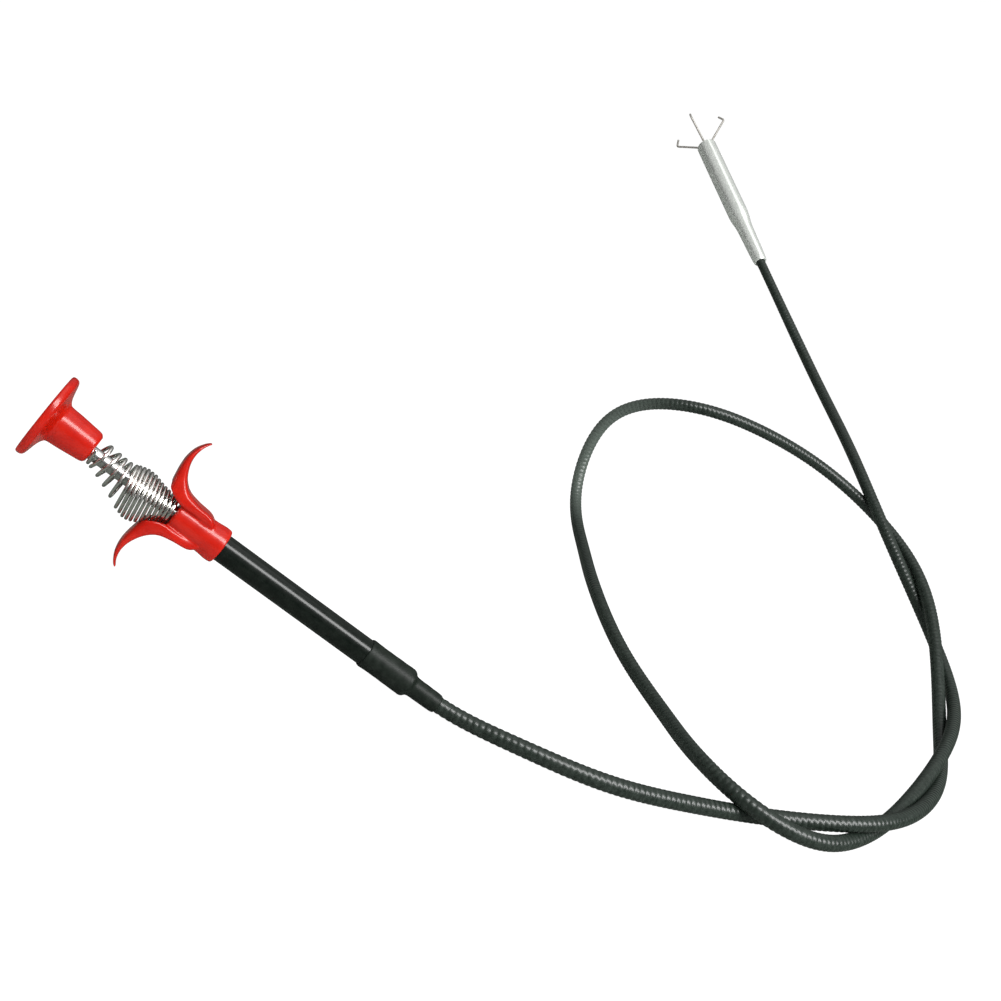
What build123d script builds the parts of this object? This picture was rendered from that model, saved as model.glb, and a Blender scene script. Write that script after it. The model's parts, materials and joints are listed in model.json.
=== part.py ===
from build123d import *
from math import cos, pi, radians, sin
import os

# Flexible four-claw drain auger. Pressing the thumb button pushes a wire through the long
# coiled cable and opens four spring-wire claws; letting go draws them shut inside the sleeve.
# Millimetres, +Z up, origin on the ground under the middle of the tool. Modelled pressed, with
# the claws open and the cable coiled loosely above the ground.

os.makedirs("parts", exist_ok=True)

# Handle: distances along its axis count from the front of the finger grip, towards the cable.
GRIP_FRONT = Vector(-104.3, -248.4, 20.9)
HANDLE_HEADING = 13.0
HANDLE_DIP = 13.3
WING_LEAN = 13.1
BUTTON_FACE = -58.6
BUTTON_END = -43.0
BUTTON_RADIUS = 12.4
DISH_FLOOR = -57.2
DISH_FLAT_RADIUS = 5.0
ROD_RADIUS = 2.0
ROD_START = -52.0
ROD_END = 16.0
GRIP_BACK = -16.0
GRIP_RADIUS = 5.0
GRIP_LIP_RADIUS = 5.4
WING_HEIGHT = 20.2
WING_WIDTH = 10.4
TUBE_RADIUS = 4.0
TUBE_BORE = 3.1
TUBE_START = -12.0
TUBE_END = 66.5
BUSH_START = -11.0
BUSH_END = -4.0
SHRINK_START = 51.0
SHRINK_STEP = 67.2
SHRINK_END = 78.0
ANCHOR_START = 50.0
CABLE_START = 52.0
WIRE_START = 17.5
TRAVEL = 11.0
GAP = 0.05

# Return spring, in its pressed length.
SPRING_WIRE_RADIUS = 0.45
SPRING_END_RADIUS = 3.75
SPRING_BULGE_RADIUS = 7.0
SPRING_OPEN_TURNS = 3
SPRING_CLOSE_TURNS = 12
SPRING_POINTS_PER_TURN = 12

# Cable: a plastic jacket over a close-wound steel coil, with the drive wire loose inside.
JACKET_RADIUS = 2.5
COIL_RADIUS = 2.17
COIL_BORE = 1.4
WIRE_RADIUS = 0.75
CABLE_SPANS = 40

# Claw end: distances along its axis count from the back of the claw sleeve, towards the claws.
SLEEVE_BACK = Vector(20.6, 180.8, 146.2)
CLAW_HEADING = 129.4
CLAW_RISE = 24.8
SLEEVE_LENGTH = 100.0
SLEEVE_RADIUS = 5.75
SLEEVE_BORE = 5.1
NECK_RADIUS = 4.5
NECK_BORE = 3.5
NECK_END = 28.0
BARREL_START = 39.0
LIP_LENGTH = 6.0
CABLE_IN_SLEEVE = 18.5
PLUG_START = 65.0
PLUG_END = 95.0
PLUG_BORE_END = 81.0
WIRE_END = 68.0
CLAW_WIRE_RADIUS = 0.5
CLAW_PITCH_RADIUS = 1.0
CLAW_SOCKET_START = 83.0
HINGE_STATION = 100.5
KNUCKLE_RADIUS = 0.6
FINGER_LENGTH = 20.0
FINGER_ANGLE = 48.7
HOOK_FORWARD = 4.2
HOOK_INWARD = 2.15
ELBOW_RADIUS = 1.2
CLAW_AZIMUTHS = (-68, 22, 112, 202)

# Points that the loosely coiled cable passes through, from the handle to the claw sleeve.
CABLE_ROUTE = [
    (-5, -232, 4), (24, -227, 5), (51, -212, 5), (82, -195, 8), (111, -183, 16), (133, -159, 19),
    (150, -120, 22), (156, -77, 28), (150, -28, 50), (133, 16, 68), (99, 40, 78), (51, 26, 84),
    (9, 16, 78), (-17, 27, 53), (-15, 24, 20), (-2, -13, 6), (8, -72, 8), (25, -116, 5),
    (44, -157, 6), (55, -187, 10), (73, -203, 11), (93, -201, 10), (113, -183, 11), (132, -151, 17),
    (149, -111, 28), (161, -60, 36), (154, -18, 46), (124, 15, 69), (98, 60, 90), (75, 120, 107),
]


def direction(heading, rise):
    """Unit vector at a heading from +X and a rise above the ground, in degrees."""
    flat = cos(radians(rise))
    return Vector(flat * cos(radians(heading)), flat * sin(radians(heading)), sin(radians(rise)))


def across(heading, rise, roll):
    """Unit vector square to that direction, at a roll about it from straight up."""
    up = direction(heading, rise + 90)
    return up * cos(radians(roll)) + direction(heading, rise).cross(up) * sin(radians(roll))


# Working planes: local X runs along the axis and local Y is the distance out from it.
handle_dir = direction(HANDLE_HEADING, -HANDLE_DIP)
wing_dir = across(HANDLE_HEADING, -HANDLE_DIP, -WING_LEAN)
handle_plane = Plane(GRIP_FRONT, x_dir=handle_dir, z_dir=handle_dir.cross(wing_dir))
handle_axis = Axis(GRIP_FRONT, handle_dir)
claw_dir = direction(CLAW_HEADING, CLAW_RISE)
claw_axis = Axis(SLEEVE_BACK, claw_dir)
claw_planes = [
    Plane(SLEEVE_BACK, x_dir=claw_dir, z_dir=claw_dir.cross(across(CLAW_HEADING, CLAW_RISE, roll)))
    for roll in CLAW_AZIMUTHS
]
sleeve_plane = claw_planes[0]


def on_handle(station):
    return GRIP_FRONT + handle_dir * station


def on_claw_axis(station):
    return SLEEVE_BACK + claw_dir * station


# ---- handle: moving plunger ----

with BuildPart() as thumb_button:
    with BuildSketch(handle_plane):
        with BuildLine():
            dish = Line((DISH_FLOOR, 0), (DISH_FLOOR, DISH_FLAT_RADIUS))
            hollow = TangentArc(dish @ 1, (BUTTON_FACE, BUTTON_RADIUS - 1.1), tangent=(0, 1))
            rim = ThreePointArc(hollow @ 1, (-58.3, BUTTON_RADIUS), (-57.3, BUTTON_RADIUS - 0.3))
            flange = Line(rim @ 1, (-56.2, 7.4))
            barrel_start = (-54.4, 5.55)
            barrel_end = (BUTTON_END - 1.2, 4.75)
            Spline(flange @ 1, barrel_start, tangents=[(1.1, -4.7), (10.2, -0.8)])
            Line(barrel_start, barrel_end)
            nose = ThreePointArc(barrel_end, (BUTTON_END - 0.3, 4.4), (BUTTON_END, 3.6))
            Polyline(
                nose @ 1,
                (BUTTON_END, ROD_RADIUS + GAP),
                (ROD_START - GAP, ROD_RADIUS + GAP),
                (ROD_START - GAP, 0),
                (DISH_FLOOR, 0),
            )
        make_face()
    revolve(axis=handle_axis)
thumb_button.part.label = "thumb_button"
export_step(thumb_button.part, "parts/thumb_button.step")

with BuildPart() as push_rod:
    with BuildSketch(handle_plane):
        with Locations(((ROD_START + ROD_END) / 2, ROD_RADIUS / 2)):
            Rectangle(ROD_END - ROD_START, ROD_RADIUS)
    revolve(axis=handle_axis)
push_rod.part.label = "push_rod"
export_step(push_rod.part, "parts/push_rod.step")

# The collar meets the inner end of the bush when the button is all the way out.
stop_start = BUSH_END + TRAVEL + GAP
stop_end = stop_start + 3
with BuildPart() as rod_stop:
    with BuildSketch(handle_plane):
        with BuildLine():
            Polyline(
                (stop_start, ROD_RADIUS + GAP),
                (stop_start, TUBE_BORE - 2 * GAP),
                (stop_end, TUBE_BORE - 2 * GAP),
                (stop_end, ROD_RADIUS + GAP),
                close=True,
            )
        make_face()
    revolve(axis=handle_axis)
rod_stop.part.label = "rod_stop"
export_step(rod_stop.part, "parts/rod_stop.step")

# The crimp holds the rod in one end; the drive wire reaches into its long bore from the other.
crimp_start = stop_end + GAP
crimp_end = WIRE_START + TRAVEL + 5
with BuildPart() as wire_crimp:
    with BuildSketch(handle_plane):
        with BuildLine():
            Polyline(
                (crimp_start, ROD_RADIUS + GAP),
                (crimp_start, 2.7),
                (crimp_end - 0.6, 2.7),
                (crimp_end, 2.1),
                (crimp_end, WIRE_RADIUS + GAP),
                (WIRE_START - 0.5, WIRE_RADIUS + GAP),
                (WIRE_START - 0.5, 0),
                (ROD_END + GAP, 0),
                (ROD_END + GAP, ROD_RADIUS + GAP),
                close=True,
            )
        make_face()
    revolve(axis=handle_axis)
wire_crimp.part.label = "wire_crimp"
export_step(wire_crimp.part, "parts/wire_crimp.step")

# ---- handle: fixed pieces ----

# Barrel-shaped spring: open turns next to the button, close turns in the bulge and at the grip.
spring_start = BUTTON_END + SPRING_WIRE_RADIUS + GAP
spring_end = GRIP_BACK - SPRING_WIRE_RADIUS - GAP
close_pitch = 2 * SPRING_WIRE_RADIUS + 0.25
open_pitch = (spring_end - spring_start - SPRING_CLOSE_TURNS * close_pitch) / SPRING_OPEN_TURNS


def spring_point(turn):
    """Centre of the spring wire after a number of turns from the button."""
    open_part = min(turn, SPRING_OPEN_TURNS)
    station = spring_start + open_part * open_pitch + (turn - open_part) * close_pitch
    share = (station - spring_start) / (spring_end - spring_start)
    bulge = sin(pi * share) ** 2
    radius = SPRING_END_RADIUS + (SPRING_BULGE_RADIUS - SPRING_END_RADIUS) * bulge
    angle = 2 * pi * turn
    return handle_plane.from_local_coords(Vector(station, radius * cos(angle), radius * sin(angle)))


spring_turns = SPRING_OPEN_TURNS + SPRING_CLOSE_TURNS
with BuildPart() as return_spring:
    with BuildLine() as spring_path:
        Spline([
            spring_point(step / SPRING_POINTS_PER_TURN)
            for step in range(spring_turns * SPRING_POINTS_PER_TURN + 1)
        ])
    with BuildSketch(Plane(spring_path.line @ 0, z_dir=spring_path.line % 0)):
        Circle(SPRING_WIRE_RADIUS)
    sweep(is_frenet=True)
return_spring.part.label = "return_spring"
export_step(return_spring.part, "parts/return_spring.step")

# Collar round the tube, with a curved wing above and below for two fingers.
with BuildPart() as finger_grip:
    with BuildSketch(handle_plane):
        with BuildLine():
            back = Spline((-20.6, 4.2), (-22.6, 9.5), (-22.9, 15.5), (-20.9, WING_HEIGHT))
            tip = Line(back @ 1, (-20.1, WING_HEIGHT - 0.6))
            hollow = Spline(
                tip @ 1, (-21.5, 14.5), (-20.6, 10.5), (-18.0, 7.6), (-12.0, 6.1), (-6.5, 5.4)
            )
            Polyline(hollow @ 1, (-6.5, 4.2), back @ 0)
        make_face()
        mirror(about=Plane.XZ)
    extrude(amount=WING_WIDTH / 2, both=True)
    with BuildSketch(Plane(GRIP_FRONT, x_dir=wing_dir, z_dir=handle_dir)):
        with BuildLine():
            upper = ThreePointArc((16.5, 3.9), (WING_HEIGHT, 0), (16.5, -3.9))
            right = Spline(upper @ 1, (9, -4.4), (0, -WING_WIDTH / 2), (-9, -4.4), (-16.5, -3.9))
            lower = ThreePointArc(right @ 1, (-WING_HEIGHT, 0), (-16.5, 3.9))
            Spline(lower @ 1, (-9, 4.4), (0, WING_WIDTH / 2), (9, 4.4), upper @ 0)
        make_face()
    extrude(amount=40, both=True, mode=Mode.INTERSECT)
    with BuildSketch(handle_plane):
        with BuildLine():
            Line((GRIP_BACK, 0), (GRIP_BACK, GRIP_RADIUS))
            Spline(
                (GRIP_BACK, GRIP_RADIUS),
                (-5, GRIP_RADIUS + 0.05),
                (-1.4, GRIP_LIP_RADIUS),
                tangents=[(1, 0), (1, 0)],
            )
            ThreePointArc((-1.4, GRIP_LIP_RADIUS), (-0.4, GRIP_LIP_RADIUS - 0.4), (0, 4.8))
            Polyline((0, 4.8), (0, 0), (GRIP_BACK, 0))
        make_face()
    revolve(axis=handle_axis)
    with BuildSketch(handle_plane):
        with BuildLine():
            Polyline(
                (GRIP_BACK - 6, 0),
                (GRIP_BACK - 6, 5.8),
                (GRIP_BACK, 5.0),
                (GRIP_BACK, ROD_RADIUS + 0.4),
                (TUBE_START - GAP, ROD_RADIUS + 0.4),
                (TUBE_START - GAP, TUBE_RADIUS + GAP),
                (1, TUBE_RADIUS + GAP),
                (1, 0),
                close=True,
            )
        make_face()
    revolve(axis=handle_axis, mode=Mode.SUBTRACT)
finger_grip.part.label = "finger_grip"
export_step(finger_grip.part, "parts/finger_grip.step")

with BuildPart() as handle_tube:
    with BuildSketch(Plane(on_handle(TUBE_START), z_dir=handle_dir)):
        Circle(TUBE_RADIUS)
        Circle(TUBE_BORE, mode=Mode.SUBTRACT)
    extrude(amount=TUBE_END - TUBE_START)
handle_tube.part.label = "handle_tube"
export_step(handle_tube.part, "parts/handle_tube.step")

with BuildPart() as rod_bush:
    with BuildSketch(Plane(on_handle(BUSH_START), z_dir=handle_dir)):
        Circle(TUBE_BORE - GAP)
        Circle(ROD_RADIUS + GAP, mode=Mode.SUBTRACT)
    extrude(amount=BUSH_END - BUSH_START)
rod_bush.part.label = "rod_bush"
export_step(rod_bush.part, "parts/rod_bush.step")

with BuildPart() as cable_anchor:
    with BuildSketch(Plane(on_handle(ANCHOR_START), z_dir=handle_dir)):
        Circle(TUBE_BORE - GAP)
        Circle(JACKET_RADIUS + GAP, mode=Mode.SUBTRACT)
    extrude(amount=TUBE_END - ANCHOR_START)
cable_anchor.part.label = "cable_anchor"
export_step(cable_anchor.part, "parts/cable_anchor.step")

with BuildPart() as shrink_sleeve:
    with BuildSketch(handle_plane):
        with BuildLine():
            bore = Polyline(
                (SHRINK_END, JACKET_RADIUS + 0.1),
                (SHRINK_STEP + 0.8, JACKET_RADIUS + 0.1),
                (TUBE_END + GAP, TUBE_RADIUS - 0.3),
                (TUBE_END + GAP, TUBE_RADIUS + GAP),
                (SHRINK_START, TUBE_RADIUS + GAP),
            )
            outside = Spline(
                (SHRINK_START, TUBE_RADIUS + 0.3),
                (SHRINK_START + 1, TUBE_RADIUS + 0.4),
                (SHRINK_STEP - 1.5, TUBE_RADIUS + 0.4),
                (SHRINK_STEP, TUBE_RADIUS + 0.1),
                (SHRINK_STEP + 1.3, JACKET_RADIUS + 0.75),
                (SHRINK_STEP + 3, JACKET_RADIUS + 0.55),
                (SHRINK_END, JACKET_RADIUS + 0.35),
            )
            Line(bore @ 1, outside @ 0)
            Line(outside @ 1, bore @ 0)
        make_face()
    revolve(axis=handle_axis)
shrink_sleeve.part.label = "shrink_sleeve"
export_step(shrink_sleeve.part, "parts/shrink_sleeve.step")

# ---- cable ----

# One smooth curve, straight where the two ferrules hold it, swept in short spans.
cable_line = Edge.make_spline(
    [
        *[on_handle(station) for station in (CABLE_START, 60, TUBE_END, 72, SHRINK_END)],
        *[Vector(*point) for point in CABLE_ROUTE],
        *[on_claw_axis(station) for station in (-5, 0, 6, 12, CABLE_IN_SLEEVE)],
    ],
    tangents=[handle_dir, claw_dir],
)
spans = [
    cable_line.trim(step / CABLE_SPANS, (step + 1) / CABLE_SPANS)
    for step in range(CABLE_SPANS)
]
cable_path = Wire(spans)


def cable_wall(outer_radius, inner_radius):
    """Hollow wall that follows the cable: its two swept skins, closed by a ring at each end."""
    start = Plane(cable_line @ 0, z_dir=cable_line % 0)
    end = Plane(cable_line @ 1, z_dir=cable_line % 1)
    faces = []
    for radius in (outer_radius, inner_radius):
        circle = Wire(Edge.make_circle(radius, start))
        faces += Shell.sweep(circle, cable_path).faces()
    for plane in (start, end):
        outer = Wire(Edge.make_circle(outer_radius, plane))
        inner = Wire(Edge.make_circle(inner_radius, plane))
        faces.append(Face(outer, [inner]))
    return Solid(Shell(faces))


jacket_wall = cable_wall(JACKET_RADIUS, COIL_RADIUS + 0.03)
with BuildPart() as cable_jacket:
    add(jacket_wall)
cable_jacket.part.label = "cable_jacket"
export_step(cable_jacket.part, "parts/cable_jacket.step")

coil_wall = cable_wall(COIL_RADIUS, COIL_BORE)
with BuildPart() as cable_coil:
    add(coil_wall)
cable_coil.part.label = "cable_coil"
export_step(cable_coil.part, "parts/cable_coil.step")

wire_path = Wire([
    Edge.make_line(on_handle(WIRE_START), cable_line @ 0),
    *spans,
    Edge.make_line(cable_line @ 1, on_claw_axis(WIRE_END)),
])
with BuildPart() as drive_wire:
    with BuildSketch(Plane(on_handle(WIRE_START), z_dir=handle_dir)):
        Circle(WIRE_RADIUS)
    sweep(path=wire_path)
drive_wire.part.label = "drive_wire"
export_step(drive_wire.part, "parts/drive_wire.step")

# ---- claw end: fixed pieces ----

with BuildPart() as claw_sleeve:
    with BuildSketch(sleeve_plane):
        with BuildLine():
            Line((0, JACKET_RADIUS + 0.1), (0, 3.1))
            neck = Spline((0, 3.1), (1.2, 3.6), (8, 4.0), (19, 4.3), (NECK_END, NECK_RADIUS))
            barrel = Line((BARREL_START, SLEEVE_RADIUS), (SLEEVE_LENGTH - 0.4, SLEEVE_RADIUS))
            Spline(neck @ 1, barrel @ 0, tangents=[(1, 0), (1, 0)])
            Polyline(
                barrel @ 1,
                (SLEEVE_LENGTH, SLEEVE_RADIUS - 0.3),
                (SLEEVE_LENGTH, SLEEVE_BORE),
                (BARREL_START + 2, SLEEVE_BORE),
                (BARREL_START, NECK_BORE),
                (LIP_LENGTH, NECK_BORE),
                (LIP_LENGTH, JACKET_RADIUS + 0.1),
                (0, JACKET_RADIUS + 0.1),
            )
        make_face()
    revolve(axis=claw_axis)
claw_sleeve.part.label = "claw_sleeve"
export_step(claw_sleeve.part, "parts/claw_sleeve.step")

with BuildPart() as cable_end_ferrule:
    with BuildSketch(Plane(on_claw_axis(LIP_LENGTH + GAP), z_dir=claw_dir)):
        Circle(NECK_BORE - GAP)
        Circle(JACKET_RADIUS + GAP, mode=Mode.SUBTRACT)
    extrude(amount=CABLE_IN_SLEEVE - LIP_LENGTH)
cable_end_ferrule.part.label = "cable_end_ferrule"
export_step(cable_end_ferrule.part, "parts/cable_end_ferrule.step")

# ---- claw end: moving pieces ----

# Ferrule that slides in the sleeve, with the drive wire behind and a socket for each claw ahead.
claw_sockets = [plane.from_local_coords(Vector(CLAW_SOCKET_START, CLAW_PITCH_RADIUS, 0))
                for plane in claw_planes]
with BuildPart() as claw_ferrule:
    with BuildSketch(sleeve_plane):
        with BuildLine():
            Polyline(
                (PLUG_START, WIRE_RADIUS + GAP),
                (PLUG_START, SLEEVE_BORE - 0.6),
                (PLUG_START + 0.5, SLEEVE_BORE - 2 * GAP),
                (PLUG_END - 0.5, SLEEVE_BORE - 2 * GAP),
                (PLUG_END, SLEEVE_BORE - 0.6),
                (PLUG_END, 0),
                (PLUG_BORE_END, 0),
                (PLUG_BORE_END, WIRE_RADIUS + GAP),
                close=True,
            )
        make_face()
    revolve(axis=claw_axis)
    for socket in claw_sockets:
        with BuildSketch(Plane(socket, z_dir=claw_dir)):
            Circle(CLAW_WIRE_RADIUS + GAP)
        extrude(amount=PLUG_END - CLAW_SOCKET_START + 1, mode=Mode.SUBTRACT)
claw_ferrule.part.label = "claw_ferrule"
export_step(claw_ferrule.part, "parts/claw_ferrule.step")

root_length = HINGE_STATION - KNUCKLE_RADIUS - GAP - CLAW_SOCKET_START - GAP
with BuildPart() as claw_roots:
    for socket in claw_sockets:
        with BuildSketch(Plane(socket + claw_dir * GAP, z_dir=claw_dir)):
            Circle(CLAW_WIRE_RADIUS)
        extrude(amount=root_length)
claw_roots.part.label = "claw_roots"
export_step(claw_roots.part, "parts/claw_roots.step")

# Each claw is one bent wire: a straight finger leaning out and a short hook turned back in.
elbow = (
    HINGE_STATION + FINGER_LENGTH * cos(radians(FINGER_ANGLE)),
    CLAW_PITCH_RADIUS + FINGER_LENGTH * sin(radians(FINGER_ANGLE)),
)
for number, plane in enumerate(claw_planes, start=1):
    with BuildPart() as claw_wire:
        with BuildLine(plane) as claw_path:
            FilletPolyline(
                (HINGE_STATION, CLAW_PITCH_RADIUS),
                elbow,
                (elbow[0] + HOOK_FORWARD, elbow[1] - HOOK_INWARD),
                radius=ELBOW_RADIUS,
            )
        with BuildSketch(Plane(claw_path.line @ 0, z_dir=claw_path.line % 0)):
            Circle(CLAW_WIRE_RADIUS)
        sweep()
        with Locations(plane.from_local_coords(Vector(HINGE_STATION, CLAW_PITCH_RADIUS, 0))):
            Sphere(KNUCKLE_RADIUS)
    claw_wire.part.label = f"claw_wire_{number}"
    export_step(claw_wire.part, f"parts/claw_wire_{number}.step")
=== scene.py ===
import json
import math

import bmesh
import bpy
import numpy as np
from mathutils import Matrix, Vector
from mathutils.bvhtree import BVHTree


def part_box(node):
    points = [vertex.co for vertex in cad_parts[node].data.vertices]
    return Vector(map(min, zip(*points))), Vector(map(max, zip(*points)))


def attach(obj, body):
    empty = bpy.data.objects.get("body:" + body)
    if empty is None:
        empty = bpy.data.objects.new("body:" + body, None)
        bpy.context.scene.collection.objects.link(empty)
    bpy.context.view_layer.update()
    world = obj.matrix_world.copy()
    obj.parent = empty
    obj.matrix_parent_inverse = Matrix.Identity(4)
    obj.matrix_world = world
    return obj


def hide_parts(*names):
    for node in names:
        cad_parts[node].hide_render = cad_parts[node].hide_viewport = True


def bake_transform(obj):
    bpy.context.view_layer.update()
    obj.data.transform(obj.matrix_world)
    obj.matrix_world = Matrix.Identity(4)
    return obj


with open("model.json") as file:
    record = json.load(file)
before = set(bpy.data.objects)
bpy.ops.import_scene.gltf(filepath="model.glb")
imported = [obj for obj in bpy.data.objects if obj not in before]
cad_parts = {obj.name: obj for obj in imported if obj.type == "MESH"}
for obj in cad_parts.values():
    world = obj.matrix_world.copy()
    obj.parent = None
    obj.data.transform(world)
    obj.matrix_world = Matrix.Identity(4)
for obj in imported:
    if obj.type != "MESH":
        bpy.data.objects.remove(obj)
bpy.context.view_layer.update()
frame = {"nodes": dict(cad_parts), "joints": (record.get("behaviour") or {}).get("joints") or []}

# Flexible four-claw drain auger. Lengths below are in millimetres and turned into metres by MM.
MM = 0.001
ROUND = 96          # sides of a turned piece
CABLE_END = 18.0    # how far the cable reaches into the claw sleeve
BUTTON_LIFT = 1.1   # how far the button sits above the handle's line
# LOOP_TURN is also the centre of the painted sheen on the cable jacket.
LOOP_TURN = (-0.018, 0.027, 0.042)  # where the cable's loop turns back, in metres


# ---- places, read from the frame ----

def unit(vector):
    return np.array(vector, float) / np.linalg.norm(vector)


def points_of(node):
    return np.array([v.co for v in frame["nodes"][node].data.vertices], float)


def middle_of(node):
    low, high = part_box(node)
    return (np.array(low) + np.array(high)) / 2


def joint(name):
    """The frame's own entry for a joint."""
    return next(j for j in frame["joints"] if j["name"] == name)


class Line:
    """A straight axis: stations run along it, and angles turn round it from an upward direction."""

    def __init__(self, point, along, zero_node, end, up):
        self.along = unit(along)
        self.point = np.array(point, float)
        low, high = self.span(zero_node)
        self.point = self.point + self.along * (high if end == "high" else low) * MM
        self.up = unit(up - self.along * np.dot(up, self.along))
        self.side = np.cross(self.along, self.up)

    def span(self, node):
        """First and last station of a node, in millimetres."""
        stations = (points_of(node) - self.point) @ self.along / MM
        return stations.min(), stations.max()

    def place(self, station, out=0.0, angle=0.0, aside=0.0):
        """Points at a station, a distance out at an angle, and a distance sideways."""
        s, r, a, b = np.broadcast_arrays(station, out, angle, aside)
        flat = np.outer(s, self.along) + np.outer(r * np.cos(a), self.up)
        return self.point + (flat + np.outer(r * np.sin(a) + b, self.side)) * MM


def wing_direction():
    """The way the upper finger wing points out from the handle."""
    axis = -unit(joint("plunger_slide")["axis"])
    offset = points_of("finger_grip") - middle_of("push_rod")
    offset = offset - np.outer(offset @ axis, axis)
    length = np.linalg.norm(offset, axis=1)
    tips = offset[(length > 0.97 * length.max()) & (offset[:, 2] > 0)]
    return tips.mean(axis=0)


handle = Line(middle_of("push_rod"), -np.array(joint("plunger_slide")["axis"]), "finger_grip",
              "high", wing_direction())
claw_line = Line(middle_of("cable_end_ferrule"), -np.array(joint("claw_slide")["axis"]),
                 "claw_sleeve", "low", np.array([0, 0, 1.0]))

button_start, button_end = handle.span("thumb_button")
grip_back = handle.span("rod_bush")[0] - 5.0
tube_start, tube_end = handle.span("handle_tube")
shrink_start, shrink_end = handle.span("shrink_sleeve")
sleeve_start, sleeve_end = claw_line.span("claw_sleeve")


# ---- mesh building ----

def new_piece(name, vertices, faces, sharp_angle=40):
    mesh = bpy.data.meshes.new(name)
    mesh.from_pydata(np.asarray(vertices, float).tolist(), [], faces)
    mesh.validate()
    mesh.polygons.foreach_set("use_smooth", [True] * len(mesh.polygons))
    mesh.set_sharp_from_angle(angle=math.radians(sharp_angle))
    mesh.update()
    piece = bpy.data.objects.new(name, mesh)
    bpy.context.scene.collection.objects.link(piece)
    return piece


def outward(piece):
    """Turns every face of a closed piece to look outward."""
    work = bmesh.new()
    work.from_mesh(piece.data)
    bmesh.ops.recalc_face_normals(work, faces=work.faces)
    work.to_mesh(piece.data)
    work.free()
    return piece


def soften(points, radius, steps=6):
    """A profile with its inner corners rounded off."""
    out = [points[0]]
    for before, corner, after in zip(points, points[1:], points[2:]):
        b, c, a = (np.array(p, float) for p in (before, corner, after))
        into, onto = b - c, a - c
        cut = min(radius, np.linalg.norm(into) * 0.45, np.linalg.norm(onto) * 0.45)
        first, last = c + unit(into) * cut, c + unit(onto) * cut
        for t in np.linspace(0, 1, steps):
            out.append(tuple((1 - t) ** 2 * first + 2 * t * (1 - t) * c + t * t * last))
    out.append(points[-1])
    return out


def lathe(name, line, profile, closed=False, wobble=None, around=ROUND):
    """Turns a profile of (station, radius) points round a line. A closed profile has a bore."""
    angles = np.linspace(0, 2 * math.pi, around, endpoint=False)
    vertices, rings, faces = [], [], []
    for station, radius in profile:
        if radius < 1e-6:
            rings.append([len(vertices)])
            vertices.append(line.place(station)[0])
            continue
        radii = np.full(around, radius)
        if wobble is not None:
            radii = radii * (1 + wobble(station, angles))
        rings.append(list(range(len(vertices), len(vertices) + around)))
        vertices.extend(line.place(station, radii, angles))
    pairs = list(zip(rings, rings[1:]))
    if closed:
        pairs.append((rings[-1], rings[0]))
    for first, second in pairs:
        for i in range(around):
            j = (i + 1) % around
            if len(first) == 1 and len(second) == 1:
                continue
            if len(first) == 1:
                faces.append((first[0], second[j], second[i]))
            elif len(second) == 1:
                faces.append((first[i], first[j], second[0]))
            else:
                faces.append((first[i], first[j], second[j], second[i]))
    return outward(new_piece(name, vertices, faces))


def carry_frame(centres):
    """Tangent and two cross directions at each centre, carried along without twisting."""
    tangents = np.gradient(centres, axis=0)
    tangents /= np.linalg.norm(tangents, axis=1)[:, None]
    start = np.cross(tangents[0], [0, 0, 1.0])
    first = [unit(start if np.linalg.norm(start) > 1e-3 else [1.0, 0, 0])]
    for tangent in tangents[1:]:
        first.append(unit(first[-1] - tangent * np.dot(first[-1], tangent)))
    first = np.array(first)
    return tangents, first, np.cross(tangents, first)


def skin(centres, radii, around):
    """Rings of vertices round a path: radii is one number per ring and angle."""
    tangents, first, second = carry_frame(centres)
    angles = np.linspace(0, 2 * math.pi, around, endpoint=False)
    spokes = (first[:, None, :] * np.cos(angles)[None, :, None]
              + second[:, None, :] * np.sin(angles)[None, :, None])
    return centres[:, None, :] + spokes * (radii * MM)[:, :, None]


def ring_faces(rings, around, offset=0, flip=False):
    """Quads between neighbouring rings."""
    i = np.arange(around)
    j = (i + 1) % around
    base = (np.arange(rings - 1) * around)[:, None] + offset
    quads = np.stack([base + i, base + j, base + around + j, base + around + i], axis=-1)
    quads = quads.reshape(-1, 4)
    return (quads[:, ::-1] if flip else quads).tolist()


def wire(name, centres, radius, around=16):
    """A round wire with softly domed ends."""
    tangents = carry_frame(centres)[0]
    dome = np.array([0.0, 0.25, 0.5, 0.75]) * radius * MM
    height = np.sqrt(1 - np.array([1.0, 0.75, 0.5, 0.25]) ** 2)
    before = centres[0] - tangents[0] * (radius * MM * 0.7 - dome[:, None] * 0.7)
    after = centres[-1] + tangents[-1] * (dome[:, None] * 0.7 + 0.2 * radius * MM)
    path = np.vstack([before, centres, after])
    shape = np.concatenate([np.maximum(height, 0.25), np.ones(len(centres)),
                            np.maximum(height[::-1], 0.25)])
    rings = skin(path, radius * shape[:, None] * np.ones(around), around)
    faces = ring_faces(len(path), around)
    last = (len(path) - 1) * around
    faces.append(list(range(around - 1, -1, -1)))
    faces.append(list(range(last, last + around)))
    return outward(new_piece(name, rings.reshape(-1, 3), faces))


def smooth_curve(points, spacing):
    """A Catmull-Rom curve through the points, with samples about a spacing apart."""
    points = np.array(points, float)
    ends = np.vstack([2 * points[0] - points[1], points, 2 * points[-1] - points[-2]])
    out = []
    for a, b, c, d in zip(ends, ends[1:], ends[2:], ends[3:]):
        count = max(2, int(np.linalg.norm(c - b) / spacing))
        t = np.linspace(0, 1, count, endpoint=False)[:, None]
        out.append(0.5 * (2 * b + (c - a) * t + (2 * a - 5 * b + 4 * c - d) * t ** 2
                          + (3 * b - a - 3 * c + d) * t ** 3))
    out.append(points[-1:])
    return np.vstack(out)


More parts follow.
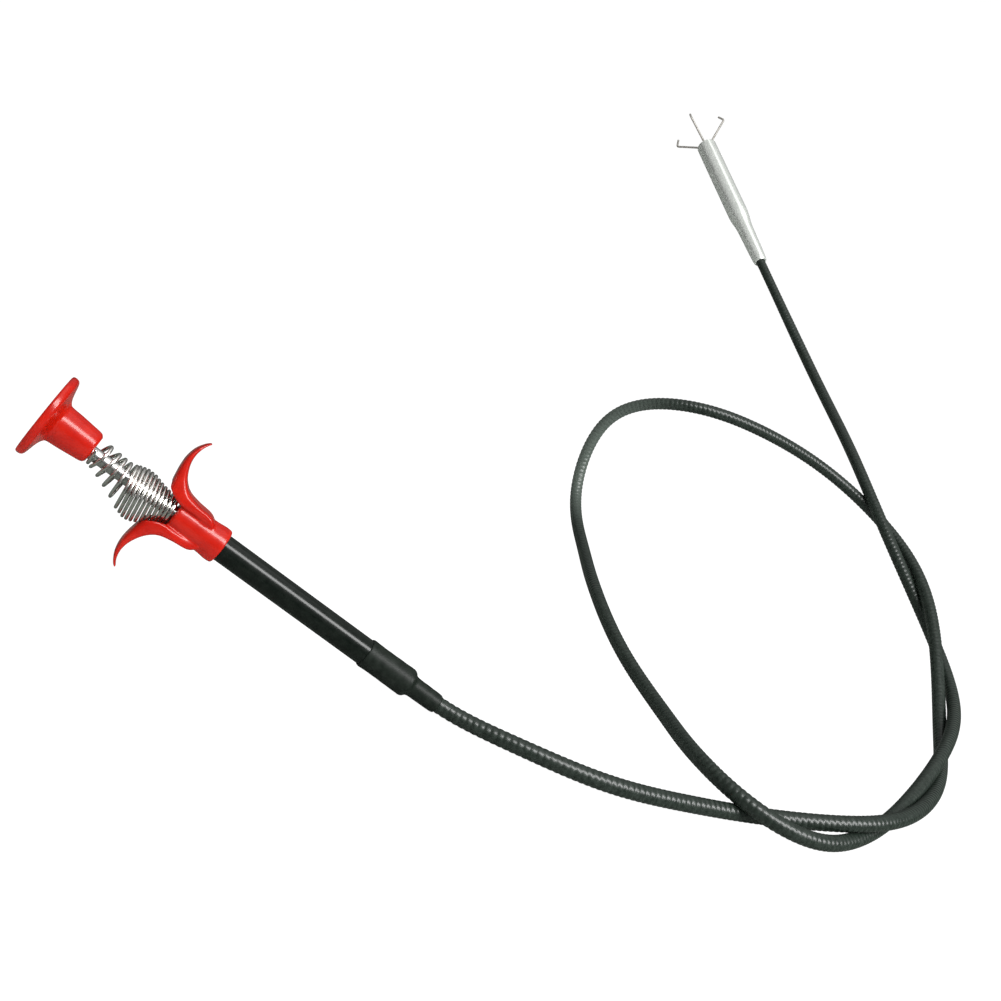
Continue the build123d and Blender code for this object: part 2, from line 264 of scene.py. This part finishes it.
def resample(points, spacing):
    """The same path with even spacing along its length."""
    steps = np.linalg.norm(np.diff(points, axis=0), axis=1)
    length = np.concatenate([[0], np.cumsum(steps)])
    count = int(length[-1] / spacing) + 1
    wanted = np.linspace(0, length[-1], count)
    return np.column_stack([np.interp(wanted, length, points[:, k]) for k in range(3)]), wanted


def bent_wire(points, radius, spacing=0.25):
    """Points of a polyline with each corner replaced by a bend of that radius."""
    points = [np.array(p, float) for p in points]
    path = [points[0]]
    for before, corner, after in zip(points, points[1:], points[2:]):
        into, onto = unit(before - corner), unit(after - corner)
        half = math.acos(np.clip(np.dot(into, onto), -1, 1)) / 2
        reach = radius * MM / math.tan(half)
        centre = corner + unit(into + onto) * radius * MM / math.sin(half)
        first, last = corner + into * reach, corner + onto * reach
        for t in np.linspace(0, 1, 9):
            spoke = unit((first - centre) * (1 - t) + (last - centre) * t)
            path.append(centre + spoke * radius * MM)
    path.append(points[-1])
    return resample(np.array(path), spacing * MM)[0]


# ---- materials ----

def node_material(name):
    material = bpy.data.materials.new(name)
    material.use_nodes = True
    nodes, links = material.node_tree.nodes, material.node_tree.links
    return material, nodes, links, nodes["Principled BSDF"]


def noise(nodes, links, scale, detail=4.0, stretch=None):
    """A noise texture in object space, with its size set per metre."""
    place = nodes.new("ShaderNodeTexCoord")
    texture = nodes.new("ShaderNodeTexNoise")
    texture.inputs["Scale"].default_value = scale
    texture.inputs["Detail"].default_value = detail
    if stretch is None:
        links.new(place.outputs["Object"], texture.inputs["Vector"])
        return texture
    mapping = nodes.new("ShaderNodeMapping")
    mapping.inputs["Rotation"].default_value = stretch[0]
    mapping.inputs["Scale"].default_value = stretch[1]
    links.new(place.outputs["Object"], mapping.inputs["Vector"])
    links.new(mapping.outputs["Vector"], texture.inputs["Vector"])
    return texture


def ramp(nodes, links, source, low, high, start=0.35, end=0.65):
    """Two colours mixed by a texture's value."""
    node = nodes.new("ShaderNodeValToRGB")
    node.color_ramp.elements[0].position = start
    node.color_ramp.elements[1].position = end
    node.color_ramp.elements[0].color = (*low, 1)
    node.color_ramp.elements[1].color = (*high, 1)
    links.new(source, node.inputs["Fac"])
    return node.outputs["Color"]


def value_range(nodes, links, source, low, high):
    """A texture's value spread between two numbers."""
    node = nodes.new("ShaderNodeMapRange")
    node.inputs["To Min"].default_value = low
    node.inputs["To Max"].default_value = high
    links.new(source, node.inputs["Value"])
    return node.outputs["Result"]


def bump(nodes, links, source, shader, depth):
    node = nodes.new("ShaderNodeBump")
    node.inputs["Distance"].default_value = depth * MM
    node.inputs["Strength"].default_value = 0.5
    links.new(source, node.inputs["Height"])
    links.new(node.outputs["Normal"], shader.inputs["Normal"])


def surface(name, low, high, rough, metallic=0.0, grain=900.0, depth=0.01, specular=0.5,
            coat=0.0, stretch=None, detail=4.0):
    """A finish whose colour, roughness and relief all vary with one grain."""
    material, nodes, links, shader = node_material(name)
    texture = noise(nodes, links, grain, detail, stretch)
    links.new(ramp(nodes, links, texture.outputs["Fac"], low, high), shader.inputs["Base Color"])
    links.new(value_range(nodes, links, texture.outputs["Fac"], *rough),
              shader.inputs["Roughness"])
    shader.inputs["Metallic"].default_value = metallic
    shader.inputs["Specular IOR Level"].default_value = specular
    shader.inputs["Coat Weight"].default_value = coat
    shader.inputs["Coat Roughness"].default_value = 0.06
    bump(nodes, links, texture.outputs["Fac"], shader, depth)
    return material


def painted_sheen_near(material, spot, near, far, colour):
    """Paints a paler sheen into a finish round a spot, standing in for a soft reflection: full at
    the near distance, none at the far one.
    """
    nodes, links = material.node_tree.nodes, material.node_tree.links
    shader = nodes["Principled BSDF"]
    usual = shader.inputs["Base Color"].links[0].from_socket
    place = nodes.new("ShaderNodeTexCoord")
    offset = nodes.new("ShaderNodeVectorMath")
    offset.operation = "DISTANCE"
    offset.inputs[1].default_value = spot
    links.new(place.outputs["Object"], offset.inputs[0])
    share = nodes.new("ShaderNodeMapRange")
    share.interpolation_type = "SMOOTHSTEP"
    share.inputs["From Min"].default_value = near
    share.inputs["From Max"].default_value = far
    share.inputs["To Min"].default_value = 1.0
    share.inputs["To Max"].default_value = 0.0
    links.new(offset.outputs["Value"], share.inputs["Value"])
    mixer = nodes.new("ShaderNodeMix")
    mixer.data_type = "RGBA"
    socket = {i.identifier: i for i in mixer.inputs}
    links.new(share.outputs["Result"], socket["Factor_Float"])
    links.new(usual, socket["A_Color"])
    socket["B_Color"].default_value = (*colour, 1)
    links.new({o.identifier: o for o in mixer.outputs}["Result_Color"], shader.inputs["Base Color"])


def along_line(line, squeeze=0.02):
    """Mapping rotation and scale that stretch a texture along a line."""
    turn = Vector(line.along).to_track_quat("Z", "Y").inverted().to_euler()
    return turn, (1.0, 1.0, squeeze)


red_plastic = surface("red_moulded_plastic", (0.225, 0.0028, 0.0004), (0.260, 0.0048, 0.0008),
                      (0.22, 0.29), grain=260, depth=0.02, specular=0.24, coat=0.10)
black_tube_gloss = surface("black_gloss_tube", (0.0018, 0.0030, 0.0022), (0.0036, 0.0052, 0.0040),
                           (0.17, 0.25), grain=420, depth=0.006, specular=0.22)
shrink_satin = surface("black_satin_shrink", (0.0035, 0.0055, 0.0040), (0.0065, 0.0092, 0.0070),
                       (0.38, 0.52), grain=520, depth=0.05, specular=0.12)
jacket_plastic = surface("cable_jacket_plastic", (0.0055, 0.0090, 0.0066), (0.0115, 0.0165, 0.0130),
                         (0.28, 0.40), grain=700, depth=0.02, specular=0.31)
spring_wire = surface("bright_spring_wire", (0.62, 0.61, 0.58), (0.80, 0.79, 0.76),
                      (0.16, 0.30), metallic=1.0, grain=1800, depth=0.01)
claw_wire_steel = surface("claw_spring_steel", (0.20, 0.19, 0.17), (0.27, 0.26, 0.24),
                          (0.42, 0.54), metallic=0.4, grain=1500, depth=0.002)
nickel_plate = surface("nickel_plate", (0.70, 0.73, 0.69), (0.78, 0.81, 0.77), (0.16, 0.26),
                       metallic=0.76, grain=1300, depth=0.002, stretch=along_line(claw_line))
rod_steel = surface("drawn_rod_steel", (0.50, 0.50, 0.49), (0.66, 0.66, 0.65), (0.22, 0.34),
                    metallic=1.0, grain=1500, depth=0.006, stretch=along_line(handle))
turned_brass = surface("turned_brass", (0.55, 0.38, 0.14), (0.70, 0.50, 0.22), (0.24, 0.38),
                       metallic=1.0, grain=1100, depth=0.01)
bush_nylon = surface("bush_nylon", (0.72, 0.71, 0.67), (0.80, 0.79, 0.75), (0.40, 0.52),
                     grain=900, depth=0.01)
# Painted sheen: the jacket turns paler round the loop's turn, standing in for a soft reflection
# there.
painted_sheen_near(jacket_plastic, LOOP_TURN, 18 * MM, 50 * MM, (0.045, 0.056, 0.048))


def paint(piece, material):
    piece.data.materials.clear()
    piece.data.materials.append(material)


def finish_piece(piece, material, slot, body, *nodes):
    """Paints a piece, sets the body it rides on, and hides the solids that it stands for."""
    paint(piece, material)
    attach(piece, body)
    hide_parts(*nodes)
    return piece


# ---- thumb button ----

def thumb_button():
    face, end = button_start, button_end
    radius = 12.4
    rod_bore = 2.05
    bore_floor = end - 9.05
    dish = [(face + 1.4, 0.0), (face + 1.4, 5.0), (face + 1.2, 7.5), (face + 0.75, 9.8)]
    rim = [(face + 0.25, radius - 1.1), (face, radius - 0.5), (face + 0.35, radius - 0.08),
           (face + 1.1, radius), (face + 1.9, radius - 0.25), (face + 2.4, radius - 0.9)]
    flange = [(face + 2.75, 10.2), (face + 3.1, 8.6), (face + 3.55, 7.1), (face + 4.1, 6.15)]
    barrel = [(face + 4.9, 5.65), (end - 7.5, 5.4), (end - 4.0, 5.05), (end - 1.6, 4.8),
              (end - 0.6, 4.5), (end, 3.8)]
    bore = [(end, rod_bore), (bore_floor, rod_bore), (bore_floor, 0.0)]
    outside = np.array(dish[1:] + rim + flange + barrel)
    fine = smooth_curve(np.column_stack([outside, np.zeros(len(outside))]), 0.3)[:, :2]
    profile = [dish[0]] + [tuple(p) for p in fine] + bore
    piece = lathe("thumb_button_shell", handle, profile, around=2 * ROUND)
    piece.data.transform(Matrix.Translation(Vector(handle.up * BUTTON_LIFT * MM)))
    return finish_piece(piece, red_plastic, "red_plastic", "plunger", "thumb_button")


# ---- finger grip ----

def grip_wing(sign):
    """One curved wing: rounded sections between a thumb-side edge and a finger-side edge."""
    thumb_edge = [(-10.0, 3.0), (-16.5, 3.2), (-21.2, 4.6), (-21.9, 6.8), (-22.4, 9.2),
                  (-22.8, 11.8), (-22.9, 14.6), (-22.3, 17.6), (-20.9, 20.2), (-19.6, 21.6)]
    finger_edge = [(-4.5, 3.3), (-7.0, 5.45), (-11.5, 6.0), (-15.6, 7.0), (-18.2, 9.0),
                   (-19.9, 11.6), (-20.9, 14.4), (-21.0, 17.2), (-20.3, 19.7), (-19.3, 21.2)]
    widths = [4.4, 4.9, 5.2, 5.1, 4.9, 4.6, 4.3, 3.8, 2.9, 1.4]
    corners = [0.5, 0.4, 0.32, 0.4, 0.5, 0.55, 0.6, 0.65, 0.7, 0.9]
    rows = 60
    t = np.linspace(0, 1, rows)
    knots = np.linspace(0, 1, len(widths))

    def along(values):
        curve = smooth_curve(np.column_stack([values, np.zeros((len(values), 1))]), 0.02)
        spots = np.linspace(0, 1, len(curve))
        return np.column_stack([np.interp(t, spots, curve[:, k]) for k in range(2)])

    thumb, finger = along(np.array(thumb_edge)), along(np.array(finger_edge))
    half_width = np.interp(t, knots, widths)
    around = 40
    angles = np.linspace(0, 2 * math.pi, around, endpoint=False)
    powers = np.interp(t, knots, corners)
    vertices = []
    for i in range(rows):
        across = np.sign(np.cos(angles)) * np.abs(np.cos(angles)) ** powers[i]
        deep = np.sign(np.sin(angles)) * np.abs(np.sin(angles)) ** powers[i]
        centre, half = (thumb[i] + finger[i]) / 2, (finger[i] - thumb[i]) / 2
        spots = centre + half * deep[:, None]
        vertices.extend(handle.place(spots[:, 0], sign * spots[:, 1], 0.0,
                                     half_width[i] * across))
    faces = ring_faces(rows, around)
    faces.append(list(range(around - 1, -1, -1)))
    faces.append(list(range((rows - 1) * around, rows * around)))
    return outward(new_piece("wing", vertices, faces))


def apply_modifiers(piece):
    """Swaps a piece's mesh for the result of its modifiers."""
    graph = bpy.context.evaluated_depsgraph_get()
    mesh = bpy.data.meshes.new_from_object(piece.evaluated_get(graph))
    piece.modifiers.clear()
    piece.data = mesh


def fuse(piece, voxel, rounds):
    """Remakes a piece as one even skin, then softens its edges."""
    remesh = piece.modifiers.new("fuse", "REMESH")
    remesh.mode = "VOXEL"
    remesh.voxel_size = voxel * MM
    smoothing = piece.modifiers.new("soften", "SMOOTH")
    smoothing.factor = 0.5
    smoothing.iterations = rounds
    bpy.context.view_layer.update()
    apply_modifiers(piece)


def join(pieces, name):
    """One mesh object holding all the pieces' faces."""
    work = bmesh.new()
    for piece in pieces:
        work.from_mesh(piece.data)
        bpy.data.objects.remove(piece)
    mesh = bpy.data.meshes.new(name)
    work.to_mesh(mesh)
    work.free()
    joined = bpy.data.objects.new(name, mesh)
    bpy.context.scene.collection.objects.link(joined)
    return joined


def finger_grip():
    back = grip_back
    collar = soften([(back, 2.4), (back, 5.0), (-5.0, 5.05), (-1.8, 5.4), (0.0, 5.2),
                     (0.0, 4.05)], 1.1)
    bore = [(tube_start - 0.05, 4.05), (tube_start - 0.05, 2.4)]
    body = lathe("collar", handle, collar + bore, closed=True)
    grip = join([body, grip_wing(1), grip_wing(-1)], "finger_grip_shell")
    fuse(grip, 0.25, 3)
    cutter = lathe("spring_room", handle, [(back - 9, 0), (back - 9, 7.6), (back - 4.5, 6.8),
                                           (back - 0.02, 5.0), (back - 0.02, 0)], around=64)
    cut = grip.modifiers.new("arch", "BOOLEAN")
    cut.operation = "DIFFERENCE"
    cut.solver = "EXACT"
    cut.object = cutter
    bpy.context.view_layer.update()
    apply_modifiers(grip)
    bpy.data.objects.remove(cutter)
    fuse(grip, 0.2, 9)
    grip.data.polygons.foreach_set("use_smooth", [True] * len(grip.data.polygons))
    grip.data.set_sharp_from_angle(angle=math.radians(45))
    return finish_piece(grip, red_plastic, "red_plastic", "root", "finger_grip")


# ---- return spring ----

def return_spring():
    wire_radius = 0.5
    first, last = handle.span("return_spring")
    first, last = first + wire_radius, last - wire_radius
    open_turns, close_turns = 5.0, 11.5
    close_pitch = 1.2
    open_pitch = (last - first - close_turns * close_pitch) / open_turns
    turns = open_turns + close_turns
    turn = np.linspace(0, turns, int(turns * 40))
    opened = np.minimum(turn, open_turns)
    station = first + opened * open_pitch + (turn - opened) * close_pitch
    shape = np.array([(0, 3.6, 1.0), (3, 3.6, 0.5), (6.2, 4.1, -0.2), (9.9, 5.0, -1.2),
                      (12.4, 6.2, -1.8), (15.2, 7.1, -1.9), (17.8, 6.7, -1.6), (20, 5.6, -1.2),
                      (22.3, 4.5, -0.6), (24.5, 3.9, -0.1), (27, 3.8, 0.0)])
    radius = np.interp(station - first, shape[:, 0], shape[:, 1])
    sag = np.interp(station - first, shape[:, 0], shape[:, 2])
    for values in (radius, sag):
        for _ in range(40):
            values[1:-1] = values[1:-1] * 0.5 + (values[:-2] + values[2:]) * 0.25
    angle = 2 * np.pi * turn + 1.4
    share = (station - first) / (last - first)
    tilt = np.interp(station - first, [0, 3, 13, 27], [0.45, 0.45, -0.17, -0.17])
    lean = tilt * radius * np.cos(angle) * np.clip(np.minimum(share, 1 - share) * 8, 0, 1)
    centres = handle.place(station + lean, radius, angle) + np.outer(sag, handle.up) * MM
    piece = wire("return_spring_coil", centres, wire_radius, around=14)
    paint(piece, spring_wire)
    tuple(handle.place(last)[0])
    tuple(handle.place(first)[0])
    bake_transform(piece)
    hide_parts("return_spring")
    return piece


# ---- handle tube and shrink sleeve ----

def handle_tube():
    outer, inner = 4.0, 3.1
    profile = soften([(tube_start, inner), (tube_start, outer), (tube_end, outer),
                      (tube_end, inner)], 0.3)
    piece = lathe("handle_tube_shell", handle, profile, closed=True)
    return finish_piece(piece, black_tube_gloss, "black_tube", "root", "handle_tube")


def shrink_sleeve():
    a, b = shrink_start, shrink_end
    shoulder = tube_end + 0.7
    outside = [(a + 0.0, 4.18), (a + 0.25, 4.34), (a + 1.0, 4.42), (a + 2.5, 4.33),
               (a + 6.0, 4.30), (a + 10.0, 4.34), (shoulder - 2.0, 4.38),
               (shoulder - 0.9, 4.40), (shoulder - 0.1, 4.12), (shoulder + 0.5, 3.55),
               (shoulder + 1.2, 3.18), (shoulder + 2.4, 3.06), (b - 5.0, 3.02), (b - 2.0, 2.98),
               (b - 0.7, 2.93), (b - 0.15, 2.80), (b, 2.65)]
    fine = smooth_curve(np.column_stack([outside, np.zeros(len(outside))]), 0.2)[:, :2]
    inside = [(b, 2.56), (shoulder + 0.8, 2.56), (tube_end + 0.05, 3.4), (tube_end + 0.05, 4.04),
              (a, 4.04)]

    def uneven(station, angles):
        if station <= a + 0.1 or station >= b - 0.1:
            return np.zeros(len(angles))
        return 0.006 * (np.sin(2 * angles + station * 0.8) * np.sin(station * 0.9 + 0.4)
                        + 0.6 * np.sin(3 * angles - station * 1.7))

    piece = lathe("shrink_sleeve_skin", handle, [tuple(p) for p in fine] + inside, closed=True,
                  wobble=uneven)
    return finish_piece(piece, shrink_satin, "black_shrink", "root", "shrink_sleeve")


# ---- cable ----

def cable_centres():
    """Centre line of the cable, walked along inside the jacket from the handle to the claws."""
    node = frame["nodes"]["cable_jacket"]
    tree = BVHTree.FromPolygons([tuple(v.co) for v in node.data.vertices],
                                [tuple(p.vertices) for p in node.data.polygons])
    step, rays, reach = 2.0 * MM, 20, 4.0 * MM
    begin = handle.span("cable_anchor")[0] + 2.0
    spot = handle.place(begin + 0.4)[0]
    heading = handle.along.copy()
    path = []
    while len(path) < 2000:
        for _ in range(3):
            side = unit(np.cross(heading, [0.31, 0.17, 0.94]))
            other = np.cross(heading, side)
            hits = []
            for k in range(rays):
                a = 2 * math.pi * k / rays
                ray = side * math.cos(a) + other * math.sin(a)
                hit = tree.ray_cast(Vector(spot), Vector(ray), reach)[0]
                if hit is not None:
                    hits.append(np.array(hit))
            if len(hits) < rays * 0.8:
                break
            spot = np.mean(hits, axis=0)
        if len(hits) < rays * 0.8:
            break
        if path:
            heading = unit(spot - path[-1]) * 0.5 + heading * 0.5
            heading = unit(heading)
        path.append(spot)
        spot = spot + heading * step
    path = np.array(path)
    for _ in range(6):
        path[1:-1] = path[1:-1] * 0.5 + (path[:-2] + path[2:]) * 0.25
    return np.vstack([handle.place(begin), path, claw_line.place(CABLE_END)])


def cable_jacket():
    """Ribbed jacket: the turns of the coil below show through as a fine screw-like relief."""
    pitch, relief, bore = 2.05, 0.16, 2.2
    end_radius, loop_radius, taper = 2.5, 2.75, 60 * MM
    around, per_turn = 22, 7
    rough_path = cable_centres()
    path = smooth_curve(rough_path, 0.5 * MM)
    centres, length = resample(path, pitch / per_turn * MM)
    angles = np.linspace(0, 2 * math.pi, around, endpoint=False)
    phase = 2 * math.pi * length[:, None] / (pitch * MM) - angles[None, :]
    groove = (0.5 - 0.5 * np.cos(phase)) ** 2
    share = np.clip((np.minimum(length, length[-1] - length) - 30 * MM) / taper, 0, 1)
    radius = end_radius + (loop_radius - end_radius) * share * share * (3 - 2 * share)
    outer = skin(centres, radius[:, None] - relief * groove, around)
    inner_centres = centres[::per_turn * 2]
    inner_centres = np.vstack([inner_centres[:-1], centres[-1:]])
    inner = skin(inner_centres, np.full((len(inner_centres), around), bore), around)
    vertices = np.vstack([outer.reshape(-1, 3), inner.reshape(-1, 3)])
    start = len(centres) * around
    faces = ring_faces(len(centres), around)
    faces += ring_faces(len(inner_centres), around, start, flip=True)
    end_outer, end_inner = start - around, start + (len(inner_centres) - 1) * around
    for i in range(around):
        j = (i + 1) % around
        faces.append((i, start + i, start + j, j))
        faces.append((end_outer + i, end_outer + j, end_inner + j, end_inner + i))
    piece = outward(new_piece("cable_jacket_ribbed", vertices, faces, sharp_angle=80))
    return finish_piece(piece, jacket_plastic, "cable_plastic", "root", "cable_jacket")


# ---- claw end ----

def claw_sleeve():
    a, b = sleeve_start, sleeve_end
    outside = [(a, 3.05), (a + 0.5, 3.42), (a + 1.6, 3.68), (a + 6, 3.92), (a + 14, 4.15),
               (a + 22, 4.33), (a + 28, 4.5), (a + 31, 4.72), (a + 34, 5.1), (a + 37, 5.48),
               (a + 40, 5.68), (a + 44, 5.75), (a + 70, 5.75), (b - 1.4, 5.75),
               (b - 0.35, 5.68), (b, 5.42)]
    fine = smooth_curve(np.column_stack([outside, np.zeros(len(outside))]), 0.8)[:, :2]
    inside = [(b, 5.22), (b - 0.3, 5.1), (a + 41, 5.1), (a + 39, 3.5), (a + 6, 3.5),
              (a + 6, 2.6), (a, 2.6)]
    piece = lathe("claw_sleeve_shell", claw_line, [tuple(p) for p in fine] + inside, closed=True,
                  around=128)
    return finish_piece(piece, nickel_plate, "nickel", "root", "claw_sleeve")


def claw_wires():
    """Each claw is one bent wire, from its socket in the ferrule to the tip of its hook."""
    wire_radius = 0.6
    finger, lean = 20.0, math.radians(48.7)
    hook_forward, hook_inward = 4.2, 2.15
    for number in range(1, 5):
        hinge = joint(f"claw_{number}_hinge")
        at = np.array(hinge["pos_m"], float)
        out = unit(np.cross(np.array(hinge["axis"], float), claw_line.along))
        root = at - claw_line.along * 17.0 * MM
        elbow = at + (claw_line.along * math.cos(lean) + out * math.sin(lean)) * finger * MM
        tip = elbow + (claw_line.along * hook_forward - out * hook_inward) * MM
        path = bent_wire([root, at, elbow, tip], 1.3)
        piece = wire(f"claw_{number}_bent_wire", path, wire_radius, around=16)
        paint(piece, claw_wire_steel)
        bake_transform(piece)
        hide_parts(f"claw_wire_{number}", "claw_roots")


# ---- hidden pieces keep their CAD shape ----

def inner_pieces():
    finishes = {
        "push_rod": rod_steel, "rod_stop": turned_brass, "rod_bush": bush_nylon,
        "wire_crimp": turned_brass, "cable_anchor": turned_brass, "cable_coil": spring_wire,
        "drive_wire": claw_wire_steel, "cable_end_ferrule": turned_brass,
        "claw_ferrule": rod_steel,
    }
    for node, material in finishes.items():
        piece = frame["nodes"][node]
        paint(piece, material)
        piece.data.polygons.foreach_set("use_smooth", [True] * len(piece.data.polygons))


# ---- floor, light and camera ----

def studio():
    """A wide pale floor under an even sky."""
    size = 30.0
    floor = new_piece("studio_floor", [(-size, -size, 0), (size, -size, 0), (size, size, 0),
                                       (-size, size, 0)], [(0, 1, 2, 3)])
    floor.location.z = -0.0006
    material, nodes, links, shader = node_material("studio_floor_matte")
    texture = noise(nodes, links, 3.0)
    links.new(ramp(nodes, links, texture.outputs["Fac"], (0.90,) * 3, (0.91,) * 3),
              shader.inputs["Base Color"])
    shader.inputs["Roughness"].default_value = 0.9
    shader.inputs["Specular IOR Level"].default_value = 0.1
    ray = nodes.new("ShaderNodeLightPath")
    glow = nodes.new("ShaderNodeEmission")
    glow.inputs["Strength"].default_value = 0.985
    faint = nodes.new("ShaderNodeBsdfDiffuse")
    faint.inputs["Color"].default_value = (0.06, 0.06, 0.06, 1)
    lit = nodes.new("ShaderNodeAddShader")
    links.new(faint.outputs["BSDF"], lit.inputs[0])
    links.new(glow.outputs["Emission"], lit.inputs[1])
    dim = nodes.new("ShaderNodeBsdfDiffuse")
    dim.inputs["Color"].default_value = (0.09, 0.10, 0.09, 1)
    bare = nodes.new("ShaderNodeMixShader")
    links.new(ray.outputs["Is Glossy Ray"], bare.inputs["Fac"])
    links.new(shader.outputs["BSDF"], bare.inputs[1])
    links.new(dim.outputs["BSDF"], bare.inputs[2])
    whole = nodes.new("ShaderNodeMixShader")
    links.new(ray.outputs["Is Camera Ray"], whole.inputs["Fac"])
    links.new(bare.outputs["Shader"], whole.inputs[1])
    links.new(lit.outputs["Shader"], whole.inputs[2])
    links.new(whole.outputs["Shader"], nodes["Material Output"].inputs["Surface"])
    paint(floor, material)

    world = bpy.data.worlds.new("studio_sky")
    bpy.context.scene.world = world
    world.use_nodes = True
    nodes, links = world.node_tree.nodes, world.node_tree.links
    nodes.clear()
    output = nodes.new("ShaderNodeOutputWorld")
    paths = nodes.new("ShaderNodeLightPath")
    place = nodes.new("ShaderNodeTexCoord")
    split = nodes.new("ShaderNodeSeparateXYZ")
    links.new(place.outputs["Generated"], split.inputs["Vector"])
    sky = nodes.new("ShaderNodeValToRGB")
    elements = sky.color_ramp.elements
    elements[0].position, elements[0].color = 0.0, (0.02, 0.022, 0.02, 1)
    elements[1].position, elements[1].color = 1.0, (0.85, 0.85, 0.85, 1)
    for spot, level in ((0.12, 0.06), (0.30, 0.40), (0.60, 0.62)):
        element = elements.new(spot)
        element.color = (level, level, level, 1)
    links.new(split.outputs["Z"], sky.inputs["Fac"])

    def glow_of(strength, colour=None):
        """A glow of one strength, plain white unless a colour is given."""
        background = nodes.new("ShaderNodeBackground")
        background.inputs["Strength"].default_value = strength
        if colour is None:
            background.inputs["Color"].default_value = (1, 1, 1, 1)
        else:
            links.new(colour, background.inputs["Color"])
        return background.outputs["Background"]

    def pick(factor, otherwise, chosen):
        """One glow for a kind of ray and another for all the rest."""
        mixer = nodes.new("ShaderNodeMixShader")
        links.new(paths.outputs[factor], mixer.inputs["Fac"])
        links.new(otherwise, mixer.inputs[1])
        links.new(chosen, mixer.inputs[2])
        return mixer.outputs["Shader"]

    unseen = pick("Is Glossy Ray", glow_of(0.55), glow_of(0.60, sky.outputs["Color"]))
    links.new(pick("Is Camera Ray", unseen, glow_of(1.01)), output.inputs["Surface"])


def area_light(name, place, target, size, energy, long_axis=None):
    """A rectangular light at a place, facing a target; its long side follows long_axis."""
    data = bpy.data.lights.new(name, "AREA")
    data.shape = "RECTANGLE"
    data.size, data.size_y = size
    data.energy = energy
    light = bpy.data.objects.new(name, data)
    bpy.context.scene.collection.objects.link(light)
    back = Vector(unit(np.array(place) - np.array(target)))
    light.rotation_mode = "QUATERNION"
    if long_axis is None:
        light.rotation_quaternion = (-back).to_track_quat("-Z", "Y")
    else:
        x = Vector(unit(np.array(long_axis) - np.array(back) * np.dot(long_axis, back)))
        y = back.cross(x)
        light.rotation_quaternion = Matrix((x, y, back)).transposed().to_quaternion()
    light.location = place
    return light


def lights():
    centre = handle.place(10)[0]
    toward = unit([0.5147, -0.3603, 0.7766])
    area_light("strip", centre + toward * 1.1, centre, (1.5, 0.36), 36, handle.along)
    area_light("overhead", (0.0, 0.1, 1.6), (0, 0, 0.05), (1.2, 1.2), 4)


def camera():
    """Seen from the front and a little above, with the camera rolled to the left."""
    data = bpy.data.cameras.new("camera")
    data.sensor_width = 36
    data.lens = 46.75
    data.clip_start, data.clip_end = 0.01, 100
    view = bpy.data.objects.new("camera", data)
    bpy.context.scene.collection.objects.link(view)
    back = Vector((0, -0.9613, 0.2756)).normalized()
    right = Vector((0.8746, 0.1336, 0.4660))
    right = (right - back * right.dot(back)).normalized()
    up = back.cross(right)
    view.rotation_mode = "QUATERNION"
    view.rotation_quaternion = Matrix((right, up, back)).transposed().to_quaternion()
    view.location = Vector((-43, -581, 167)) * MM
    bpy.context.scene.camera = view


thumb_button()
finger_grip()
return_spring()
handle_tube()
shrink_sleeve()
cable_jacket()
claw_sleeve()
claw_wires()
inner_pieces()
studio()
lights()
camera()
bpy.context.scene.view_settings.view_transform = "Standard"
